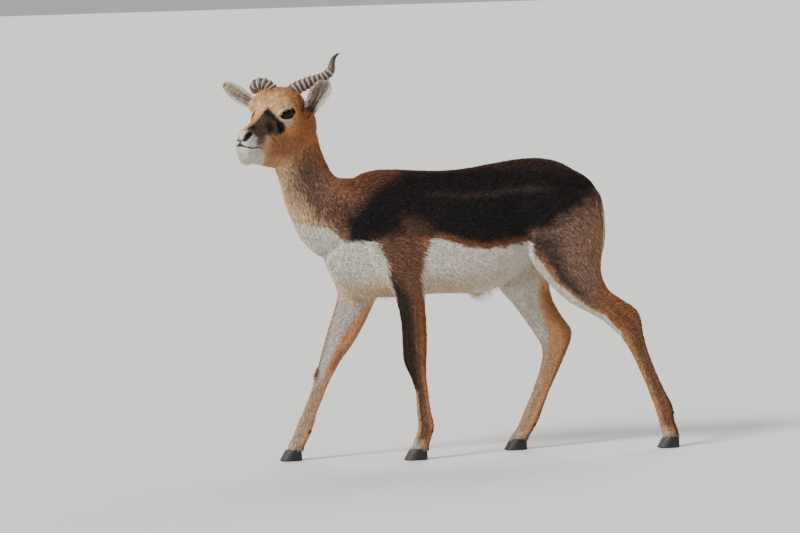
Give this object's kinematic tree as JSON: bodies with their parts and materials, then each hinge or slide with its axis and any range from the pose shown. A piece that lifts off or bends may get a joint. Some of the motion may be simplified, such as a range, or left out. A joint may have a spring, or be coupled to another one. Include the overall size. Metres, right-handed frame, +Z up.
{
  "type": "blackbuck model",
  "caption": "Life-size still model of a young male antelope walking with its head turned to one side, short ringed horns, cupped ears, cloven hooves.",
  "frame": {"origin": "on the floor, below the middle of the whole animal's bounding box", "axes": "+Z up, -X the way the animal walks, -Y its left side"},
  "size_m": [1.1794, 0.2694, 1.073],
  "materials": {
    "torso_coat": "short dense coat, near-black brown above, white below",
    "neck_coat": "short coat, orange brown to grizzled grey brown",
    "head_coat": "short coat, orange tan with a dark nose bridge and a white chin",
    "leg_coat": "short sleek coat, orange brown and white",
    "tail_coat": "short coat with a longer tip",
    "ear_coat": "short coat outside, pale long hair inside",
    "eye": "wet, clear gloss",
    "horn": "ringed horn, satin, dark tip",
    "hoof_horn": "black horn, satin"
  },
  "bodies": {
    "root": {"ear_left": "ear_coat", "ear_right": "ear_coat", "eye_left": "eye", "eye_right": "eye", "fore_cannon_left": "leg_coat", "fore_cannon_right": "leg_coat", "fore_leg_left": "leg_coat", "fore_leg_right": "leg_coat", "fore_pastern_left": "leg_coat", "fore_pastern_right": "leg_coat", "head": "head_coat", "hind_cannon_left": "leg_coat", "hind_cannon_right": "leg_coat", "hind_pastern_left": "leg_coat", "hind_pastern_right": "leg_coat", "hind_shank_left": "leg_coat", "hind_shank_right": "leg_coat", "hoof_fore_left_inner": "hoof_horn", "hoof_fore_left_outer": "hoof_horn", "hoof_fore_right_inner": "hoof_horn", "hoof_fore_right_outer": "hoof_horn", "hoof_hind_left_inner": "hoof_horn", "hoof_hind_left_outer": "hoof_horn", "hoof_hind_right_inner": "hoof_horn", "hoof_hind_right_outer": "hoof_horn", "horn_left": "horn", "horn_right": "horn", "neck": "neck_coat", "tail": "tail_coat", "thigh_left": "leg_coat", "thigh_right": "leg_coat", "torso": "torso_coat"}
  },
  "joints": []
}
